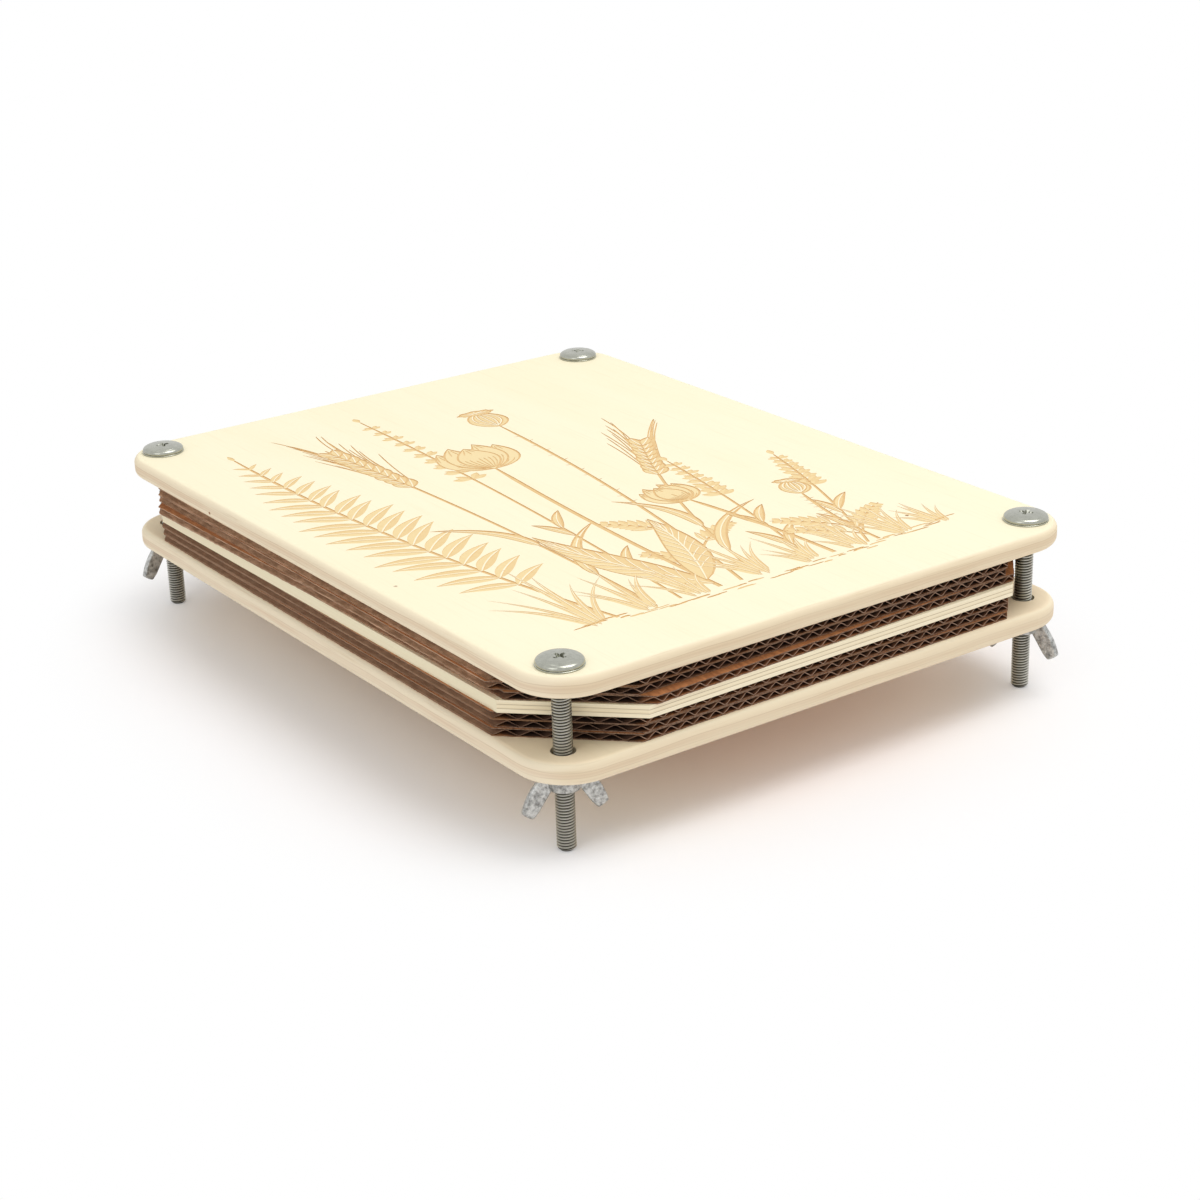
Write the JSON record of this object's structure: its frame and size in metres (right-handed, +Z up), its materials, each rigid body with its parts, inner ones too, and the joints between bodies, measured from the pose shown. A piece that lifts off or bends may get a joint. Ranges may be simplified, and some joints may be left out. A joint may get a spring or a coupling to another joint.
{
  "type": "flower press",
  "caption": "Flower press of thin plywood boards around a stack of corrugated card leaves with cut corners, held by long threaded bolts with wing nuts at the corners.",
  "frame": {"origin": "on the surface that the press stands on, below the middle of the boards", "axes": "+X along the boards' short side, +Y along their long side, +Z up, out of the engraved face"},
  "size_m": [0.1802, 0.2358, 0.0523],
  "materials": {
    "plywood": "plain sanded birch plywood with visible layers on its edges",
    "kraft_paper": "plain brown kraft paper",
    "waved_paper": "plain brown kraft paper, cut edges fuzzy",
    "bolt_steel": "zinc-plated steel, slightly dull",
    "nut_zinc": "cast and plated, slightly rough"
  },
  "bodies": {
    "top_board": {"top_board": "plywood", "bolt_front_left": "bolt_steel", "bolt_front_right": "bolt_steel", "bolt_back_right": "bolt_steel", "bolt_back_left": "bolt_steel"},
    "bottom_board": {"bottom_board": "plywood"},
    "middle_plate": {"middle_plate": "plywood"},
    "card_1": {"card_1_upper_liner": "kraft_paper", "card_1_fluting": "waved_paper", "card_1_lower_liner": "kraft_paper"},
    "card_2": {"card_2_upper_liner": "kraft_paper", "card_2_fluting": "waved_paper", "card_2_lower_liner": "kraft_paper"},
    "card_3": {"card_3_upper_liner": "kraft_paper", "card_3_fluting": "waved_paper", "card_3_lower_liner": "kraft_paper"},
    "card_4": {"card_4_upper_liner": "kraft_paper", "card_4_fluting": "waved_paper", "card_4_lower_liner": "kraft_paper"},
    "card_5": {"card_5_upper_liner": "kraft_paper", "card_5_fluting": "waved_paper", "card_5_lower_liner": "kraft_paper"},
    "card_6": {"card_6_upper_liner": "kraft_paper", "card_6_fluting": "waved_paper", "card_6_lower_liner": "kraft_paper"},
    "wing_nut_front_left": {"wing_nut_front_left": "nut_zinc"},
    "wing_nut_front_right": {"wing_nut_front_right": "nut_zinc"},
    "wing_nut_back_right": {"wing_nut_back_right": "nut_zinc"},
    "wing_nut_back_left": {"wing_nut_back_left": "nut_zinc"}
  },
  "joints": [
    {"name": "bottom_board_slide", "type": "slide", "parent": "top_board", "child": "bottom_board", "axis": [0, 0, -1], "range_m": [0, 0.008]},
    {"name": "wing_nut_front_left_spin", "type": "hinge", "parent": "bottom_board", "child": "wing_nut_front_left", "pos_m": [-0.0785, -0.107, 0.02], "axis": [0, 0, -1], "range_deg": [0, 3600]},
    {"name": "wing_nut_front_right_spin", "type": "hinge", "parent": "bottom_board", "child": "wing_nut_front_right", "pos_m": [0.0785, -0.107, 0.02], "axis": [0, 0, -1], "range_deg": [0, 3600]},
    {"name": "wing_nut_back_right_spin", "type": "hinge", "parent": "bottom_board", "child": "wing_nut_back_right", "pos_m": [0.0785, 0.107, 0.02], "axis": [0, 0, -1], "range_deg": [0, 3600]},
    {"name": "wing_nut_back_left_spin", "type": "hinge", "parent": "bottom_board", "child": "wing_nut_back_left", "pos_m": [-0.0785, 0.107, 0.02], "axis": [0, 0, -1], "range_deg": [0, 3600]},
    {"name": "card_1_slide", "type": "slide", "parent": "top_board", "child": "card_1", "axis": [0, 0, -1], "range_m": [0, 0.001]},
    {"name": "card_2_slide", "type": "slide", "parent": "top_board", "child": "card_2", "axis": [0, 0, -1], "range_m": [0, 0.002]},
    {"name": "card_3_slide", "type": "slide", "parent": "top_board", "child": "card_3", "axis": [0, 0, -1], "range_m": [0, 0.003]},
    {"name": "middle_plate_slide", "type": "slide", "parent": "top_board", "child": "middle_plate", "axis": [0, 0, -1], "range_m": [0, 0.004]},
    {"name": "card_4_slide", "type": "slide", "parent": "top_board", "child": "card_4", "axis": [0, 0, -1], "range_m": [0, 0.005]},
    {"name": "card_5_slide", "type": "slide", "parent": "top_board", "child": "card_5", "axis": [0, 0, -1], "range_m": [0, 0.006]},
    {"name": "card_6_slide", "type": "slide", "parent": "top_board", "child": "card_6", "axis": [0, 0, -1], "range_m": [0, 0.007]}
  ],
  "couplings": [
    {"joint": "wing_nut_front_left_spin", "follows": "bottom_board_slide", "rad_per_m": 7854},
    {"joint": "wing_nut_front_right_spin", "follows": "bottom_board_slide", "rad_per_m": 7854},
    {"joint": "wing_nut_back_right_spin", "follows": "bottom_board_slide", "rad_per_m": 7854},
    {"joint": "wing_nut_back_left_spin", "follows": "bottom_board_slide", "rad_per_m": 7854},
    {"joint": "card_1_slide", "follows": "bottom_board_slide", "ratio": 0.125},
    {"joint": "card_2_slide", "follows": "bottom_board_slide", "ratio": 0.25},
    {"joint": "card_3_slide", "follows": "bottom_board_slide", "ratio": 0.375},
    {"joint": "middle_plate_slide", "follows": "bottom_board_slide", "ratio": 0.5},
    {"joint": "card_4_slide", "follows": "bottom_board_slide", "ratio": 0.625},
    {"joint": "card_5_slide", "follows": "bottom_board_slide", "ratio": 0.75},
    {"joint": "card_6_slide", "follows": "bottom_board_slide", "ratio": 0.875}
  ]
}
